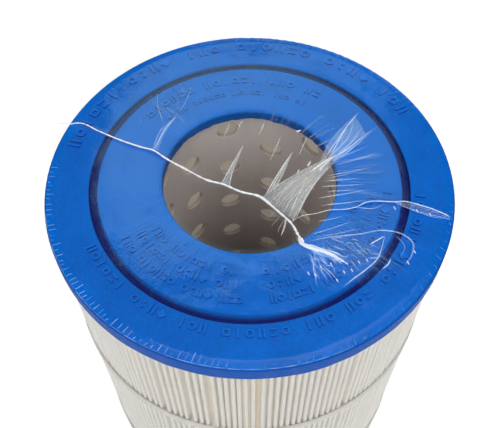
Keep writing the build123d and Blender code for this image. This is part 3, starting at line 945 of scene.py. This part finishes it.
def build_pleats(material):
    """The folded sheet as a closed solid, with tips that wander a little between the bands."""
    rng = np.random.default_rng(4)
    tips, roots = pleat_angles(rng)
    reach = PLEAT_R - np.abs(rng.normal(0, 0.10, PLEATS)).clip(0, 0.3)
    phase = rng.uniform(0, 2 * pi, PLEATS)
    slow = rng.uniform(70, 150, PLEATS)
    size = rng.uniform(0.0, 0.22, PLEATS)
    held = [MEDIA_LOW + 4, MEDIA_HIGH - 4] + [(b[0].z + b[1].z) / 2 / MM for b in BANDS]
    near_top = [MEDIA_HIGH - 4, MEDIA_HIGH - 18]
    heights = np.unique(np.concatenate([np.linspace(MEDIA_LOW, MEDIA_HIGH, 15), near_top]))
    verts = []
    for z in heights:
        free = float(smoothstep(0, 26, min(abs(z - h) for h in held)))
        sway = free * size * np.sin(2 * pi * z / slow + phase) / PLEAT_R
        for side in (1, -1):
            ring = fold_ring(tips + sway, roots, reach, side)
            verts.extend((x, y, z) for x, y in ring)
    count = (TIP_POINTS + ROOT_POINTS) * PLEATS
    faces = []
    levels = len(heights)
    for i in range(levels - 1):
        for side in (0, 1):
            base, above = (2 * i + side) * count, (2 * i + 2 + side) * count
            for j in range(count):
                k = (j + 1) % count
                quad = (base + j, base + k, above + k, above + j)
                faces.append(quad if side == 0 else quad[::-1])
    for level, flip in ((0, True), (levels - 1, False)):
        out, back = 2 * level * count, (2 * level + 1) * count
        for j in range(count):
            k = (j + 1) % count
            quad = (out + j, out + k, back + k, back + j)
            faces.append(quad[::-1] if flip else quad)
    piece = add_piece("pleated_media_sheet", verts, faces, material)
    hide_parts("pleated_media")
    return piece


# ---- moulding flash


def build_flash(name, inner, outer, height, down, reach, seed, material):
    """A thin uneven edge of urethane left where the mould met the core or the pleats."""
    turns = 360
    angle = np.linspace(0, 2 * pi, turns, endpoint=False)
    rng = np.random.default_rng(seed)
    drop = np.zeros(turns)
    for k, size in ((3, 0.20), (7, 0.18), (13, 0.16), (29, 0.14), (53, 0.10)):
        drop += size * np.sin(k * angle + rng.uniform(0, 2 * pi))
    drop = reach * (0.55 + drop).clip(0.08, 1.3)
    tip = inner + 0.3 * (outer - inner)
    section = [(inner, 0.0, 0.0), (outer, 0.0, 0.0), (outer, 1.0, -0.12), (tip, 1.0, 0.0), (inner, 1.0, -0.2)]
    verts = []
    for radius, share, extra in section:
        for a, fall in zip(angle, drop):
            z = height + down * fall * max(0.0, share + extra)
            verts.append((radius * cos(a), radius * sin(a), z))
    faces = [tuple(k % len(verts) for k in f) for f in grid_faces(len(section) + 1, turns, closed=True)]
    faces = faces if down > 0 else [f[::-1] for f in faces]
    return add_piece(name, verts, faces, material)


# ---- the cartridge

cap = cap_material()
core = core_material()
fabric = fabric_material()
band = band_material()
bead = bead_material()
film = film_material()
gathered = crease_material("gathered_film", (0.94, 0.965, 1.0))
puckered = crease_material("puckered_film", (0.62, 0.85, 1.0))

looks = {"top_end_cap": cap, "bottom_end_cap": cap, "core_tube": core, "media_seam": bead}
looks["pleated_media"] = fabric
looks.update({"band_%d" % i: band for i in range(1, 6)})
looks["shrink_wrap"] = film
for name, material in looks.items():
    slots = frame["nodes"][name].material_slots
    for material_slot in slots:
        material_slot.material = material
    if not slots:
        frame["nodes"][name].data.materials.append(material)

build_pleats(fabric)
lip = TOP_FACE - (MOUNTS["top_bore"]["dims"]["length_mm"] + 0.5)
flash_in, flash_out = BORE_R + 0.02, BORE_R + 0.9
rim_in, rim_out = PLEAT_R + 0.45, CAP_R - 0.15
build_flash("top_bore_flash", flash_in, flash_out, lip + 0.05, -1, 1.5, 31, cap)
build_flash("bottom_bore_flash", flash_in, flash_out, TOP_FACE - lip - 0.05, 1, 1.5, 32, cap)
build_flash("top_rim_flash", rim_in, rim_out, TOP_FACE - CAP_WALL + 0.05, -1, 1.4, 33, cap)
build_flash("bottom_rim_flash", rim_in, rim_out, CAP_WALL - 0.05, 1, 1.4, 34, cap)

bag = build_film(film)
seam = build_bead(gathered)
gathers = build_gathers(gathered)
puckers = build_rim_strokes(puckered)


# ---- floor, light and camera


def build_floor(material):
    """A wide flat floor."""
    mesh = bpy.data.meshes.new("floor")
    reach = 30.0
    corners = [(-reach, -reach), (reach, -reach), (reach, reach), (-reach, reach)]
    mesh.from_pydata([(x, y, -0.0002) for x, y in corners], [], [(0, 1, 2, 3)])
    mesh.materials.append(material)
    floor = bpy.data.objects.new("floor", mesh)
    bpy.context.scene.collection.objects.link(floor)


def add_softbox(name, place, target, width, height, radiance, colour=(1, 1, 1)):
    """A rectangular softbox of the given brightness, facing target."""
    light = bpy.data.lights.new(name, "AREA")
    light.shape = "RECTANGLE"
    light.size, light.size_y = width, height
    light.energy = radiance * pi * width * height
    light.color = colour
    lamp = bpy.data.objects.new(name, light)
    bpy.context.scene.collection.objects.link(lamp)
    lamp.location = place
    lamp.rotation_euler = (Vector(target) - Vector(place)).to_track_quat("-Z", "Y").to_euler()
    return lamp


def around(distance, azimuth, elevation):
    """A place that far from the top cap's centre; azimuth 0 is behind the cartridge, 90 at its right."""
    a, e = radians(azimuth), radians(elevation)
    top = TOP_FACE * MM
    flat = distance * cos(e)
    return (flat * sin(a), flat * cos(a), top + distance * sin(e))


def build_world():
    """White to the camera, dim to everything else, so that the softboxes shape the light."""
    world = bpy.data.worlds.new("studio")
    bpy.context.scene.world = world
    world.use_nodes = True
    tree = world.node_tree
    tree.nodes.clear()
    seen = tree.nodes.new("ShaderNodeBackground")
    seen.inputs[0].default_value = (1, 1, 1, 1)
    seen.inputs[1].default_value = 1.0
    room = tree.nodes.new("ShaderNodeBackground")
    room.inputs[0].default_value = (0.93, 0.96, 1, 1)
    room.inputs[1].default_value = 0.10
    path = tree.nodes.new("ShaderNodeLightPath")
    mix = tree.nodes.new("ShaderNodeMixShader")
    out = tree.nodes.new("ShaderNodeOutputWorld")
    tree.links.new(path.outputs["Is Camera Ray"], mix.inputs[0])
    tree.links.new(room.outputs[0], mix.inputs[1])
    tree.links.new(seen.outputs[0], mix.inputs[2])
    tree.links.new(mix.outputs[0], out.inputs[0])


def build_camera():
    """In front of the cartridge and above it, looking down on the top cap."""
    data = bpy.data.cameras.new("camera")
    data.lens = 52.77
    data.sensor_width = 36.0
    data.clip_start = 0.01
    camera = bpy.data.objects.new("camera", data)
    bpy.context.scene.collection.objects.link(camera)
    place = Vector((0.6, -191.8, TOP_FACE + 257.1)) * MM
    down, yaw, roll = radians(56.08), radians(-0.14), radians(-0.30)
    turn = Matrix.Rotation(-yaw, 4, "Z") @ Matrix.Rotation(pi / 2 - down, 4, "X")
    turn = turn @ Matrix.Rotation(roll, 4, "Z")
    camera.matrix_world = Matrix.Translation(place) @ turn
    bpy.context.scene.camera = camera


build_floor(floor_material())
build_world()
target = (0, 0, (TOP_FACE - 20) * MM)
# the back card is there to be mirrored in the film, and lights nothing else
back_card = add_softbox("back_card", around(1.5, 0, 48), target, 0.80, 0.74, 1.75, (0.52, 0.92, 1.0))
back_card.visible_diffuse = False
add_softbox("overhead_box", around(1.1, 180, 72), target, 1.0, 0.8, 2.2, (1.0, 0.98, 0.96))
add_softbox("front_box", around(1.3, 180, 18), target, 1.2, 1.0, 2.1, (1.0, 0.98, 0.95))
add_softbox("left_box", around(1.5, 250, 30), target, 0.9, 1.2, 0.3, (1.0, 0.98, 0.94))
add_softbox("right_box", around(1.4, 100, 60), target, 0.9, 1.0, 1.6, (1.0, 0.97, 0.93))
add_softbox("rear_fill", around(1.9, 12, 6), target, 1.4, 1.0, 2.1)
build_camera()
bpy.context.scene.view_settings.view_transform = "Standard"
